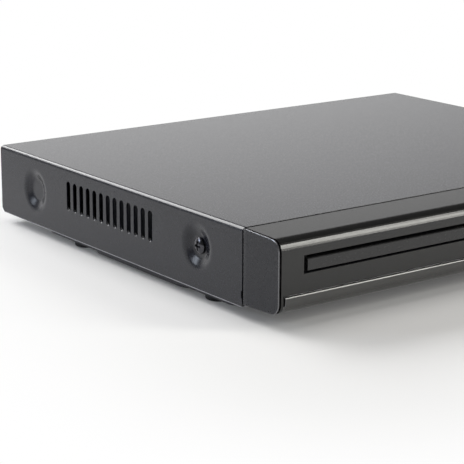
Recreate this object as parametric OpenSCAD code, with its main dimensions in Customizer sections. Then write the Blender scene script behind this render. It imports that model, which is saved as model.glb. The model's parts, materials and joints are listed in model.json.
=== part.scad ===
// Compact disc player with a front-loading tray.
// +X is to the right, +Y to the rear and +Z up; the feet stand on Z = 0.

/* [Case] */
// Width over the cover
case_w = 270; // [264:1:430]
// Depth from the front face to the rear of the cover
case_d = 230; // [226:1:300]
// Height of the cover's side
cover_h = 34.5; // [34.5:0.5:60]
// Height of the rubber feet below the pan
foot_h = 2.6; // [2.4:0.1:12]
// Diameter of the rubber feet
foot_d = 12; // [8:0.5:12.5]
// Thickness of the steel sheet
sheet_t = 0.8; // [0.6:0.1:1]
// Radius of the cover's long bends
bend_r = 2; // [1.2:0.1:4]
// Depth of the moulded front panel
front_d = 24.5; // [22:0.5:30]
// Wall of the moulded front panel
front_wall = 2.2; // [1.6:0.1:2.6]
// Thickness of the metal skin on the front panel
skin_t = 0.6; // [0.4:0.1:0.9]
// How far the sound and picture jacks stand out of the rear
jack_out = 8; // [6:0.5:10]

/* [Cover] */
// Number of vent slots on each side
vent_n = 13; // [5:1:16]
// Width of one vent slot
vent_w = 3.3; // [1.6:0.1:3.9]
// Height of one vent slot
vent_h = 13.6; // [8:0.2:18]
// Distance from one vent slot to the next
vent_pitch = 5.87; // [5.3:0.01:6.5]
// Diameter of the side dimples at the surface
dimple_d = 20; // [17:0.5:22]
// Depth of the side dimples
dimple_depth = 2; // [1.2:0.1:2.4]
// Head diameter of the cover screws
screw_head_d = 7.4; // [5.5:0.1:8]

/* [Tray] */
// Width of the tray behind its door
tray_w = 128.6; // [127:0.1:130]
// Height of the tray
tray_h = 4.2; // [4:0.1:4.6]
// Length of the tray behind its door
tray_l = 167.4; // [166:0.1:176]
// How far the tray comes out
tray_travel = 134; // [100:1:136]
// Width of the tray door
door_w = 136.9; // [132:0.1:140]
// Height of the tray door
door_h = 5; // [4.4:0.1:6]
// Thickness of the tray door
door_t = 2.6; // [2:0.1:3]
// Diameter of the large disc well
well_d = 121; // [120.6:0.1:122]
// Diameter of the small disc well
small_well_d = 81; // [80.4:0.1:84]

/* [Controls] */
// Share of the front beside the tray that the display window takes
display_share = 0.493; // [0.38:0.001:0.5]
// Height of the display window
display_h = 12; // [8:0.5:14]
// Share of the front beside the tray that one oblong button takes
button_share = 0.073; // [0.05:0.001:0.078]
// Height of the oblong buttons
button_h = 4.6; // [3.6:0.1:6]
// Diameter of the power button
power_d = 9; // [6:0.2:11]
// Travel of the buttons
button_travel = 0.7; // [0.3:0.1:1]

/* [Boards] */
// Share of the room beside the loader that the main board takes
main_share = 0.677; // [0.66:0.001:0.7]
// Length of the power board
power_l = 140; // [136:1:160]

/* [Mechanism] */
// Number of teeth of the pinion that drives the tray
tray_pinion_n = 16; // [15:1:17]
// Number of teeth of the large gear below that pinion
big_gear_n = 30; // [27:1:31]
// Number of teeth of the pulley's pinion
pulley_pinion_n = 12; // [11:1:13]
// Groove radius of the large pulley
pulley_r = 10; // [8:0.2:10.4]
// Groove radius of the motor pulley
motor_pulley_r = 2.6; // [2:0.1:4]
// Angle that the traverse deck rests below its playing position
deck_angle = 4; // [3.5:0.1:4.2]
// Travel of the cam slider
slider_travel = 20; // [16:0.5:20]
// Diameter of the turntable
turntable_d = 29; // [24:0.5:29]
// Diameter of the clamper's flange
clamper_d = 36; // [33:0.5:40]

/* [Hidden] */
$fn = 48;
eps = 0.01;
fine = 96;

// Places of the case
button_proud = 0.5;
front_y = (button_proud - case_d - jack_out) / 2;
rear_y = front_y + case_d;
seam_y = front_y + front_d;
side_x = case_w / 2;
press_d = 3.2;
hem_w = dimple_depth + sheet_t - 0.4;
rear_cut = 3;
edge_z = foot_h + press_d - sheet_t;
top_z = edge_z + cover_h;
pan_z = edge_z + sheet_t;
pan_top = pan_z + sheet_t;
floor_top = foot_h + sheet_t;
pan_x = side_x - dimple_depth - sheet_t;
platform_x = pan_x - 0.2;
platform_front = seam_y + 6;
platform_rear = rear_y - 38.5;
platform_r = 8;
belly_z = foot_h - 1;
belly_front = seam_y + 38;
belly_rear = seam_y + 129;
belly_r = 14;
flange_h = 6.4;
ear_w = 14;
pan_front = seam_y + 1;
seam_gap = 0.5;
fit_gap = 0.3;

// Dimples, as distances behind the seam and heights above the cover's edge
front_dimple_y = seam_y + 32.6;
front_dimple_z = edge_z + 19.4;
rear_dimple_y = seam_y + 171;
rear_dimple_z = edge_z + 17.5;
dimple_floor_d = 10.6;
dimple_rim_r = 8;
dimple_bed_r = 4;
vent_rear_y = seam_y + 139;
vent_z = edge_z + 21.1;
vent_bed_r = 0.72 * vent_w;
notch_z = edge_z + 3.9;
notch_h = 3.3;
notch_d = 0.7;

// Screws
thread_r = 1.5;
thread_hole_r = 1.6;
clear_hole_r = 1.7;
head_h = 1.9;
small_head_d = 5.6;
small_head_h = 1.6;

// Feet
foot_x = platform_x - foot_d / 2 - 1;
foot_front_y = seam_y + 30;
foot_rear_y = seam_y + 139;
foot_stem_r = 2.5;
foot_barb_r = 3.2;
foot_barb_h = 1;
foot_round = 0.8;

// Loader, drawn around the disc's centre and its own underside
disc_x = -side_x + 83.5;
disc_y = front_y + 71.5;
standoff_h = 2.8;
loader_z = floor_top + standoff_h;
tray_z = 18.6;
tray_front = -71.5 + door_t;
tray_gap = 0.3;
rail_x = tray_w / 2 + tray_gap;
rail_t = 2.4;
rail_out = rail_x + rail_t;
loader_front = -66.5;
loader_rear = 110.8;
low_front = -40;
loader_top = tray_z + tray_h + tray_gap + 1.7;
loader_floor = 1.6;
lug_out = 7.8;
lug_ys = [-30, 80];
lug_r = 3.5;
platform_z = 8.2;
platform_t = 1.6;
platform_top = platform_z + platform_t;
platform_back = -36;
track_back = -22;
ledge_in = rail_x - 3;

// Disc and tray details
well_z = tray_z + 1.6;
small_well_z = tray_z + 0.8;
window_r = turntable_d / 2 + 2;
window_x = 13;
window_rear = 64;
tray_pocket_x = 42;
tray_pocket_y = 74;
rack_h = 1.2;
rack_module = 1;
rack_back_x = rail_x - 4;
rack_pitch_x = rack_back_x - 3;
rack_front = -53;
rack_teeth = floor((tray_travel + 12) / (PI * rack_module));

// Front panel section
top_drop = 0.2;
front_top = top_z - top_drop;
round_top = 5;
round_low = 5;
slope_top = 0.5;
front_low = edge_z + 1.2;
slope_low = 0.8;
groove_z = edge_z + 9.7;
groove_h = 0.7;
groove_depth = 2.2;
rim_w = 0.6;
rim_gap = 0.9;
rim_gap_depth = 1.8;
relief_w = 3;
relief_d = 0.25;
skin_end = rim_w + rim_gap;
skin_back = 0.9;
leg_end = 2.6;
lip_end = leg_end + 0.1;
lip_back = 6;
lip_round = 1;
corner_w = 1.1;
corner_z = groove_z - 3.7;
door_z = loader_z + tray_z - 0.5;
slot_z = door_z - 1.1;
slot_top = door_z + door_h + 1.7;
slot_side = 1.95;
door_bevel = 0.3;

// Controls on the right of the front panel
board_t = 1.6;
loader_right = disc_x + rail_out + lug_out;
board_left = loader_right + 2;
board_right = side_x - 5;
board_y = front_y + 17.4;
board_low = front_low + skin_t + front_wall + 1.2;
board_high = front_top - slope_top - skin_t - front_wall - 1;
free_w = side_x - board_left;
display_w = display_share * free_w;
display_x = board_left + 0.0365 * free_w + display_w / 2;
display_z = door_z + door_h / 2;
display_t = 1.6;
display_lip = 1.5;
button_z = slot_top - 2.2;
power_x = side_x - 0.105 * free_w;
power_shift = 1.5;
button_w = button_share * free_w;
button_step = 0.0959 * free_w;
button_xs = [for (i = [3:-1:1]) power_x - power_shift - i * button_step];
button_gap = 0.25;
button_rim = 1;
button_rim_t = 1;
wall_back = front_y + skin_t + front_wall;
cap_len = wall_back + fit_gap - (front_y - button_proud);
switch_w = 6;
switch_h = 3.6;
plunger_r = 1.7;
plunger_h = 1;
stem_r = 1.4;
switch_top = board_y - switch_h - plunger_h;
usb_w = 13.1;
usb_h = 5.7;
usb_x = button_xs[1];
usb_z = slot_z - 2.3;
usb_wall = 0.4;
usb_len = board_y - front_y - 0.4;
boss_r = 3;
board_bosses = [
    [board_left + 4, board_low + 4],
    [display_x + display_w / 2 + 0.0274 * free_w, board_low + 4],
    [board_right - 4, board_low + 4]
];

// Hooks of the front panel on the pan's front tabs
hook_w = 8;
hook_t = 1.6;
hook_top = pan_z + flange_h;
hook_xs = [-pan_x + hook_w, board_left + hook_w / 2, pan_x - 2 * hook_w];

// Circuit boards at the rear right
pcb_z = pan_top + 4;
pcb_top = pcb_z + board_t;
pcb_rear = rear_y - 3;
main_x0 = board_left + 2;
board_gap = 4;
boards_w = pan_x - sheet_t - 2.4 - main_x0 - board_gap;
main_w = main_share * boards_w;
main_l = 102;
main_front = pcb_rear - main_l;
power_x0 = main_x0 + main_w + board_gap;
power_w = boards_w - main_w;
power_front = pcb_rear - power_l;
pcb_hole_in = 4;
rear_panel_y = rear_y - 2 * sheet_t;
rear_panel_top = top_z - sheet_t - fit_gap;
rear_flange = 5;
rear_tab_w = 12;
rear_tab_h = 10;

// Chips: distance from the main board's left and front edges, then width, depth and height
memory_x = main_w - 17;
chips = [
    [0.12 * main_w, 20, 24, 24, 1.6],
    [memory_x, 28, 12, 18, 1.2],
    [memory_x, 48, 12, 18, 1.2],
    [0.18 * main_w, 54, 10, 10, 1.4],
    [0.45 * main_w, 58, 8, 8, 1.2]
];
sink_w = 20;
sink_fin = 1.2;

supply_y = main_front + 9;
supply_n = 5;
supply_step = 3;
supply_l = (supply_n + 0.4) * supply_step;
supply_w = 6;
supply_h = 7;
supply_in = 2;
lead_r = 0.7;

// Capacitors: share of the power board's width, then place, radius and height
cap_r = 5;
big_cap_r = 8;
cap_y = supply_y - 1.5 - cap_r;
caps = [
    [0.45, pcb_rear - 38, big_cap_r, 18],
    [0.5, pcb_rear - 24, 4.5, 16],
    [0.3, cap_y, cap_r, 14],
    [0.3, cap_y - 2 * cap_r - 1, cap_r, 14]
];
coil_x = 0.381 * power_w;
coil_y = supply_y + supply_l + 15;
coil_h = 18;
power_sink_l = 30;
power_sink_y = power_front + pcb_hole_in + small_head_d / 2 + 9.2;
power_sink_h = 19;
power_sink_t = 1.6;
power_fin_l = 3;
power_fin_t = 1.4;
power_fin_pitch = (power_sink_l - power_fin_t) / 4;

// Sockets of the flat cables
flat_socket_x = 10;
flat_socket_l = 20;
flat_socket_w = 5;
flat_socket_h = 4;
pickup_socket_y = main_front + 30;
pickup_socket_l = 28;
cable_t = 0.4;

// Jacks
rca_r = 4.15;
rca_depth = 11;
rca_hole_r = 1.65;
rca_pitch = 0.19 * main_w;
rca_xs = [for (i = [0:2]) main_x0 + 0.12 * main_w + rca_pitch * i];
rca_zs = [pcb_top + 5.6, pcb_top + 16.8];
hdmi_x = main_x0 + 0.82 * main_w;
hdmi_w = 15;
hdmi_h = 5.6;
inlet_x = power_x0 + power_w / 2 - 1;
inlet_w = 21;
inlet_h = 13;

// Gears
gear_module = 0.8;
drive_r = tray_pinion_n * rack_module / 2;
big_r = big_gear_n * gear_module / 2;
pulley_pinion_r = pulley_pinion_n * gear_module / 2;
drive_x = rack_pitch_x - drive_r;
drive_y = -48;
mesh_angle = 190;
pulley_x = drive_x + (big_r + pulley_pinion_r) * cos(mesh_angle);
pulley_y = drive_y + (big_r + pulley_pinion_r) * sin(mesh_angle);
motor_x = -18;
motor_y = pulley_y;
post_r = 2;
running = 0.05;
big_gear_z = platform_top + 4;
big_gear_h = 2.2;
drive_pinion_z = big_gear_z + big_gear_h + 0.2;
drive_pinion_h = tray_z - 0.3 - drive_pinion_z;
belt_t = 1.2;
belt_h = 1.4;
belt_z = 5.4;
pulley_low = belt_z - 1;
pulley_h = belt_h + 2;
pulley_lip = 1;

// Traverse deck, drawn in its playing position
hinge_y = 105.5;
hinge_z = 9.8;
deck_z = 11.8;
deck_t = 1.6;
deck_top = deck_z + deck_t;
deck_x = 40;
deck_front = -22;
deck_rear = 104;
play_z = 22.8;
hub_r = 7.4;
hub_h = 2.6;
flange_t = 2;
motor_r = 12;
spindle_r = 1;
deck_window = [-34, 20, 12, 84];
rod_r = 1.5;
rod_x = 23;
rod_z = 15.6;
rod_front = 8;
rod_rear = 84.5;
rod_post = 3.4;
screw_x = -29.5;
screw_z = 12.6;
screw_pitch = 3;
sled_x = 17;
sled_y = 13;
sled_l = 23;
sled_low = 9.5;
sled_top = 18.2;
lens_y = 24;
lens_r = 4.5;
lens_top = 21.3;
sled_motor_r = 4.4;
sled_motor_l = 11.5;
pivot_x = deck_x + 0.6;
pivot_ear = 3.4;
pivot_r = 2;
cam_pin_x = 22;
cam_pin_z = 12.4;
cam_pin_r = 1.5;
cam_y = -25.6;
cam_t = 1.6;
cam_clear = 0.3;
cam_left = -cam_pin_x - slider_travel - 5;
cam_right = cam_pin_x + 5;
cam_top = cam_pin_z + 4.6;
cam_rise = (hinge_y - cam_y) * sin(deck_angle);
cam_low = cam_pin_z - cam_rise;

// Clamper and its bridge
bridge_z = loader_top + 2;
bridge_t = 1.4;
bridge_half = 14;
clamper_low = play_z + 0.5;
clamper_pad_r = clamper_d / 2 - 3;
clamper_hole_r = clamper_pad_r + 0.6;
clamper_flange_t = 1.5;
magnet_r = 10;
bridge_screw_x = rail_out + 2;

// Points of an arc around c, from angle a to angle b
function arc(c, r, a, b, n = 10) =
    [for (i = [0:n]) c + r * [cos(a + (b - a) * i / n), sin(a + (b - a) * i / n)]];

// Section of the front panel, moved inwards by inset: [distance behind the seam, height]
function front_section(inset, back) = concat(
    [[back, front_top - inset], [-seam_gap, front_top - inset]],
    arc([round_top - front_d, front_top - slope_top - round_top], round_top - inset, 90, 180),
    arc([round_low - front_d, front_low + slope_low + round_low], round_low - inset, 180, 270),
    [[-seam_gap, front_low + inset], [back, front_low + inset]]
);

// Outline of a gear with straight-sided teeth, one of them on +X
function gear_outline(m, n) = [
    for (i = [0:n - 1], p = [[-0.85, -1.25], [-0.6, 0], [-0.27, 1], [0.27, 1], [0.6, 0], [0.85, -1.25]])
        let (r = n * m / 2 + p[1] * m, a = 360 * i / n + p[0] * m / r * 180 / PI)
        [r * cos(a), r * sin(a)]
];

// Outline of the rack: teeth towards -X, the first gap centre at y = 0
function rack_outline(m, n) = concat(
    [for (i = [0:n - 1], p = [[1.25, 0.6], [0, 0.97], [-1, 1.3], [-1, 1.84], [0, 2.17], [1.25, 2.54]])
        [p[0] * m, (i * PI + p[1]) * m]],
    [[rack_back_x - rack_pitch_x, (n - 1) * PI * m + 2.54 * m], [rack_back_x - rack_pitch_x, 0.6 * m]]
);

// A box from its low corner to its high corner
module block(low, high) {
    translate(low)
        cube(high - low);
}

// A section of [y, z] points that runs along X
module along_x(x0, x1) {
    translate([x0, 0, 0])
        rotate([90, 0, 90])
            linear_extrude(x1 - x0)
                children();
}

// A section of [x, z] points that runs along Y
module along_y(y0, y1) {
    translate([0, y1, 0])
        rotate([90, 0, 0])
            linear_extrude(y1 - y0)
                children();
}

// A cylinder along +Y, and one along +X
module rod_y(r, l) {
    rotate([-90, 0, 0])
        cylinder(r = r, h = l);
}

module rod_x_dir(r, l) {
    rotate([0, 90, 0])
        cylinder(r = r, h = l);
}

// A flat shape with round ends: w wide and h high
module oblong(w, h) {
    r = min(w, h) / 2;
    square([w - (w > h ? 2 * r : 0), h - (h > w ? 2 * r : 0)], center = true);
    for (s = [-1, 1])
        translate(w > h ? [s * (w / 2 - r), 0] : [0, s * (h / 2 - r)])
            circle(r);
}

// A pan-head screw that points along -Z: its head's underside is at z = 0
module pan_screw(head_d, head_height, l) {
    dome = 0.55 * head_height;
    dome_r = (head_d * head_d / 4 + dome * dome) / (2 * dome);
    difference() {
        union() {
            intersection() {
                cylinder(r = head_d / 2, h = head_height);
                translate([0, 0, head_height - dome_r])
                    sphere(dome_r, $fn = fine);
            }
            translate([0, 0, -l])
                cylinder(r = thread_r, h = l + eps);
        }
        for (a = [0, 90])
            rotate([0, 0, a])
                translate([0, 0, head_height])
                    cube([head_d * 0.56, head_d * 0.13, head_height * 1.2], center = true);
    }
}

module both_sides() {
    children();
    mirror([1, 0, 0])
        children();
}

module in_loader() {
    translate([disc_x, disc_y, loader_z])
        children();
}

// Turns what is drawn in the playing position down to the deck's resting place
module on_deck() {
    in_loader()
        translate([0, hinge_y, hinge_z])
            rotate([deck_angle, 0, 0])
                translate([0, -hinge_y, -hinge_z])
                    children();
}

// Screw places
module at_loader_lugs() {
    for (s = [-1, 1], y = lug_ys)
        translate([disc_x + s * (rail_out + lug_out / 2 + 0.3), disc_y + y, 0])
            children();
}

module at_pcb_holes() {
    for (x = [main_x0 + pcb_hole_in, main_x0 + main_w - pcb_hole_in],
         y = [main_front + pcb_hole_in, pcb_rear - 22])
        translate([x, y, 0])
            children();
    for (x = [power_x0 + pcb_hole_in, power_x0 + power_w - pcb_hole_in],
         y = [power_front + pcb_hole_in, pcb_rear - 22])
        translate([x, y, 0])
            children();
}

module at_feet() {
    for (s = [-1, 1], y = [foot_front_y, foot_rear_y])
        translate([s * foot_x, y, 0])
            children();
}

// ---- Case ----

// A shallow box over the pan's width with round corners, all its walls moved inwards by inset
module pressing(front, rear, corner_r, inset, low, high) {
    r = corner_r - inset;
    x = platform_x - inset;
    l = rear - front - 2 * inset;
    translate([0, front + inset, low])
        linear_extrude(high - low) {
            translate([r - x, 0])
                square([2 * (x - r), l]);
            translate([-x, r])
                square([2 * x, l - 2 * r]);
            for (side = [r - x, x - r], end = [r, l - r])
                translate([side, end])
                    circle(r);
        }
}

module bottom_chassis() color("#4a4b50") {
    difference() {
        union() {
            block([-pan_x, pan_front, pan_z], [pan_x, rear_panel_y, pan_top]);
            pressing(platform_front, platform_rear, platform_r, 0, foot_h, pan_top);
            pressing(belly_front, belly_rear, belly_r, 0, belly_z, floor_top);
            both_sides() {
                block([pan_x - sheet_t, pan_front, pan_z], [pan_x, rear_panel_y, pan_z + flange_h]);
                for (d = [[front_dimple_y, front_dimple_z], [rear_dimple_y, rear_dimple_z]])
                    block([pan_x - sheet_t, d[0] - ear_w / 2, pan_z],
                          [pan_x, d[0] + ear_w / 2, d[1] + ear_w / 2]);
            }
            for (x = hook_xs)
                block([x - hook_w, pan_front, pan_z], [x + hook_w, pan_front + sheet_t, pan_z + flange_h]);
            at_pcb_holes()
                translate([0, 0, pan_top - sheet_t])
                    cylinder(r = boss_r, h = pcb_z - pan_top + sheet_t);
        }
        difference() {
            union() {
                pressing(platform_front, platform_rear, platform_r, sheet_t, floor_top, pan_top + eps);
                pressing(belly_front, belly_rear, belly_r, sheet_t, belly_z + sheet_t, floor_top + eps);
            }
            at_loader_lugs()
                cylinder(r = lug_r, h = loader_z);
            at_pcb_holes()
                cylinder(r = boss_r, h = pcb_z);
        }
        at_loader_lugs()
            block([-lug_r - 1, -lug_r - 1, loader_z], [lug_r + 1, lug_r + 1, pan_top + 1]);
        at_loader_lugs()
            cylinder(r = thread_hole_r, h = pan_top);
        at_pcb_holes()
            cylinder(r = thread_hole_r, h = pcb_z + 1);
        at_feet()
            cylinder(r = foot_stem_r + running, h = pan_top);
        both_sides()
            translate([pan_x - sheet_t - 1, front_dimple_y, front_dimple_z])
                rod_x_dir(thread_hole_r, sheet_t + 2);
    }
}

module rear_panel() color("#8e9092") difference() {
    union() {
        block([-pan_x, rear_panel_y, pan_z], [pan_x, rear_panel_y + sheet_t, rear_panel_top]);
        for (x = [[-pan_x + 4, main_x0 - 4]])
            block([x[0], rear_panel_y - 6, pan_top], [x[1], rear_panel_y + eps, pan_top + sheet_t]);
    }
    for (x = rca_xs, z = rca_zs)
        translate([x, rear_panel_y - 1, z])
            rod_y(rca_r + fit_gap, sheet_t + 2);
    translate([hdmi_x, 0, pcb_top + hdmi_h / 2])
        block([-hdmi_w / 2 - fit_gap, rear_panel_y - 1, -hdmi_h / 2 - fit_gap],
              [hdmi_w / 2 + fit_gap, rear_y, hdmi_h / 2 + fit_gap]);
    translate([inlet_x, 0, pcb_top])
        block([-inlet_w / 2 - fit_gap, rear_panel_y - 1, -fit_gap],
              [inlet_w / 2 + fit_gap, rear_y, inlet_h + fit_gap]);
    at_rear_screws()
        translate([0, rear_panel_y - 1, 0])
            rod_y(thread_hole_r, sheet_t + 2);
}

module at_rear_screws() {
    for (x = [-pan_x + 12, -10, pan_x - 12])
        translate([x, 0, top_z - sheet_t - rear_tab_h / 2])
            children();
}

// Cross-section of the cover's wrap: [x, z]
module cover_wrap(inset) {
    r = bend_r - inset;
    polygon(concat(
        [[side_x - inset, edge_z - (inset > 0 ? 1 : 0)]],
        arc([side_x - bend_r, top_z - bend_r], r, 0, 90, 8),
        arc([bend_r - side_x, top_z - bend_r], r, 90, 180, 8),
        [[inset - side_x, edge_z - (inset > 0 ? 1 : 0)]]
    ));
}

module top_cover() color("#8b8b8a") difference() {
    union() {
        along_y(seam_y, rear_y)
            difference() {
                cover_wrap(0);
                cover_wrap(sheet_t);
            }
        block([-side_x + sheet_t, rear_y - sheet_t, top_z - sheet_t - rear_flange],
              [side_x - sheet_t, rear_y, top_z - sheet_t + eps]);
        at_rear_screws()
            block([-rear_tab_w / 2, rear_y - sheet_t, -rear_tab_h / 2],
                  [rear_tab_w / 2, rear_y, rear_tab_h / 2]);
        both_sides() {
            block([side_x - hem_w, seam_y, edge_z], [side_x - eps, rear_panel_y - 1, edge_z + sheet_t]);
            for (d = [[front_dimple_y, front_dimple_z], [rear_dimple_y, rear_dimple_z]])
                translate([side_x - dimple_depth, d[0], d[1]])
                    dimple(sheet_t);
        }
    }
    both_sides() {
        for (d = [[front_dimple_y, front_dimple_z], [rear_dimple_y, rear_dimple_z]])
            translate([side_x - dimple_depth, d[0], d[1]])
                dimple(0);
        translate([side_x - sheet_t - dimple_depth - 1, front_dimple_y, front_dimple_z])
            rod_x_dir(clear_hole_r, sheet_t + 2);
        for (i = [0:vent_n - 1])
            translate([side_x, vent_rear_y - i * vent_pitch, vent_z])
                vent_slot();
        translate([0, rear_y, edge_z])
            rotate([45, 0, 0])
                cube([case_w + 1, rear_cut, rear_cut], center = true);
        block([side_x - sheet_t - 1, seam_y - 1, notch_z], [side_x + 1, seam_y + notch_d, notch_z + notch_h]);
    }
    at_rear_screws()
        translate([0, rear_y - sheet_t - 1, 0])
            rod_y(clear_hole_r, sheet_t + 2);
}

// One slot through the cover's side at X = 0, with its lower end dished outwards
module vent_slot() {
    low = -vent_h / 2;
    along_x(-sheet_t - 1, 1)
        oblong(vent_w, vent_h);
    intersection() {
        translate([-sheet_t, 0, low])
            rotate([0, 135, 0])
                translate([-vent_bed_r, 0, -sheet_t])
                    cylinder(r = vent_bed_r, h = 4 * sheet_t);
        block([-sheet_t - 1, -vent_w / 2, low - 2 * sheet_t], [1, vent_w / 2, low + vent_w / 2]);
    }
}

// The dish of a dimple along +X, from its bed outwards; behind is how far its skin lies further in
module dimple(behind) {
    a = atan(2 * dimple_depth / (dimple_d - dimple_floor_d));
    bed = [dimple_floor_d / 2 - dimple_bed_r * tan(a / 2), dimple_bed_r];
    rim = [dimple_d / 2 + dimple_rim_r * tan(a / 2), dimple_depth - dimple_rim_r];
    mouth = behind > 0 ? dimple_depth - behind + eps : dimple_depth + 1;
    rotate([0, 90, 0])
        rotate_extrude($fn = fine)
            polygon(concat(
                [[0, -behind]],
                arc(bed, dimple_bed_r + behind, -90, a - 90, 6),
                arc(rim, dimple_rim_r - behind, 90 + a, 90, 8),
                [[rim[0], mouth], [0, mouth]]
            ));
}

module cover_screws() color("#2c2c2e") both_sides()
    translate([side_x - dimple_depth, front_dimple_y, front_dimple_z])
        rotate([0, 90, 0])
            pan_screw(screw_head_d, head_h, 7);

module rear_screws() color("#2c2c2e") at_rear_screws()
    translate([0, rear_y, 0])
        rotate([-90, 0, 0])
            pan_screw(small_head_d, small_head_h, 6);

module rubber_feet() color("#17171a") at_feet()
    rotate_extrude($fn = 64)
        polygon(concat(
            [[0, 0]],
            arc([foot_d / 2 - foot_round, foot_round], foot_round, -90, 0, 5),
            [[foot_d / 2, foot_h], [foot_stem_r, foot_h], [foot_stem_r, floor_top],
             [foot_barb_r, floor_top], [foot_stem_r - 0.4, floor_top + foot_barb_h],
             [0, floor_top + foot_barb_h]]
        ));

// ---- Front panel ----

module front_openings(extra) {
    block([disc_x - door_w / 2 - slot_side, front_y - 1, slot_z],
          [disc_x + door_w / 2 + slot_side, wall_back + 1, slot_top]);
    translate([display_x, 0, display_z])
        along_y(front_y - 1, wall_back + 1)
            square([display_w - 2 * extra, display_h - 2 * extra], center = true);
    for (x = button_xs)
        translate([x, 0, button_z])
            along_y(front_y - 1, wall_back + 1)
                oblong(button_w + 2 * button_gap, button_h + 2 * button_gap);
    translate([power_x, front_y - 1, button_z])
        rod_y(power_d / 2 + button_gap, wall_back + 2 - front_y);
    translate([usb_x, 0, usb_z])
        block([-usb_w / 2 - fit_gap, front_y - 1, -usb_h / 2 - fit_gap],
              [usb_w / 2 + fit_gap, wall_back + 1, usb_h / 2 + fit_gap]);
}

module front_panel() color("#404045") {
    difference() {
        union() {
            translate([0, seam_y, 0])
                difference() {
                    union() {
                        along_x(-side_x, side_x)
                            polygon(front_section(skin_t, -seam_gap));
                        both_sides()
                            along_x(side_x - rim_w, side_x)
                                polygon(front_section(0, -seam_gap));
                    }
                    along_x(-side_x + front_wall, side_x - front_wall)
                        polygon(front_section(skin_t + front_wall, 1));
                }
            for (b = board_bosses)
                translate([b[0], wall_back - eps, b[1]])
                    rod_y(boss_r, board_y - wall_back + eps);
        }
        front_openings(display_lip);
        translate([display_x, 0, display_z])
            along_y(front_y - 1, front_y + display_t)
                square([display_w, display_h], center = true);
        for (b = board_bosses)
            translate([b[0], board_y - 7, b[1]])
                rod_y(thread_hole_r, 8);
        translate([0, seam_y, 0]) {
            lip_seat();
            both_sides() {
                rim_slot();
                side_relief();
            }
        }
    }
    for (x = hook_xs) {
        block([x - hook_w / 2, seam_y - 3, front_low + skin_t + 1],
              [x + hook_w / 2, seam_y - 1, hook_top + hook_t]);
        block([x - hook_w / 2, seam_y - 3, hook_top],
              [x + hook_w / 2, pan_front + sheet_t + 2, hook_top + hook_t]);
        block([x - hook_w / 2, pan_front + sheet_t, hook_top - 1.2],
              [x + hook_w / 2, pan_front + sheet_t + 2, hook_top + eps]);
    }
}

// A layer of the front panel, t thick, between two heights and up to a distance before the seam
module front_layer(t, low, high, back) {
    intersection() {
        difference() {
            polygon(front_section(0, 1));
            polygon(front_section(t, 2));
        }
        translate([-front_d - 1, low])
            square([front_d - back + 1, high - low]);
    }
}

// Where the lower lip lies, with the groove above it and the open corners beside it
module lip_seat() {
    along_x(-side_x + leg_end, side_x - leg_end)
        front_layer(2 * skin_t, front_low - 1, groove_z + groove_h, lip_back - fit_gap);
    block([-side_x + leg_end, -front_d - 1, groove_z],
          [side_x - leg_end, groove_depth - front_d, groove_z + groove_h]);
    lip_corners(groove_depth);
}

// The open corners at both ends of the lip
module lip_corners(depth) {
    both_sides()
        block([side_x - leg_end - corner_w, -front_d - 1, corner_z],
              [side_x - leg_end + eps, depth - front_d, groove_z + groove_h]);
}

// The gap between the end's rim and the skin
module rim_slot() {
    along_x(side_x - skin_end, side_x - rim_w)
        difference() {
            polygon(front_section(-1, 1));
            polygon(front_section(rim_gap_depth, 2));
        }
}

// The shallow band of the end beside the seam
module side_relief() {
    r = (relief_w * relief_w + relief_d * relief_d) / (2 * relief_d);
    translate([side_x, -relief_w, front_low - 1])
        linear_extrude(cover_h)
            difference() {
                translate([-relief_d - 1, 0])
                    square([relief_d + 2, relief_w]);
                translate([-r, 0])
                    circle(r, $fn = fine);
            }
}

module front_skin() color("#3b3b39") difference() {
    translate([0, seam_y, 0]) {
        along_x(-side_x + skin_end, side_x - skin_end)
            front_layer(skin_t, groove_z + groove_h, top_z, skin_back);
        both_sides()
            along_x(side_x - leg_end, side_x - skin_end)
                front_layer(skin_t, front_low - 1, top_z, lip_back);
    }
    front_openings(0);
}

module lower_trim() color("#38383a")
    translate([0, seam_y, 0])
        difference() {
            along_x(-side_x + lip_end, side_x - lip_end)
                difference() {
                    front_layer(2 * skin_t, front_low - 1, groove_z, lip_back);
                    translate([-front_d, groove_z - lip_round])
                        difference() {
                            translate([-1, 0])
                                square([lip_round + 1, lip_round + 1]);
                            translate([lip_round, 0])
                                circle(lip_round);
                        }
                }
            lip_corners(2 * skin_t + 1);
        }

module display_window() color("#141416", 0.9)
    translate([display_x, 0, display_z])
        along_y(front_y, front_y + display_t)
            square([display_w - fit_gap, display_h - fit_gap], center = true);

module button_cap(x) {
    translate([x, 0, button_z]) {
        along_y(front_y - button_proud, front_y - button_proud + cap_len)
            children(0);
        along_y(front_y - button_proud + cap_len - eps, wall_back + fit_gap + button_rim_t)
            children(1);
        translate([0, wall_back + fit_gap + button_rim_t - eps, 0])
            rod_y(stem_r, switch_top - button_travel - 0.1 - (wall_back + fit_gap + button_rim_t) + eps);
    }
}

module oblong_button(x) {
    button_cap(x) {
        oblong(button_w, button_h);
        oblong(button_w + 2 * button_gap + button_rim, button_h + 2 * button_gap + button_rim);
    }
}

module open_button() color("#55565a") oblong_button(button_xs[0]);

module play_button() color("#55565a") oblong_button(button_xs[1]);

module stop_button() color("#55565a") oblong_button(button_xs[2]);

module power_button() color("#6a6b70")
    button_cap(power_x) {
        circle(power_d / 2);
        circle(power_d / 2 + button_gap + button_rim / 2);
    }

module front_board() color("#2f6b3c") difference() {
    block([board_left, board_y, board_low], [board_right, board_y + board_t, board_high]);
    for (b = board_bosses)
        translate([b[0], board_y - 1, b[1]])
            rod_y(clear_hole_r, board_t + 2);
}

module display_module() color("#26262a") {
    block([display_x - display_w / 2 + 4, wall_back + 2, display_z - display_h / 2 + 1],
          [display_x + display_w / 2 - 12, board_y, display_z + display_h / 2 - 1]);
}

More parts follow.
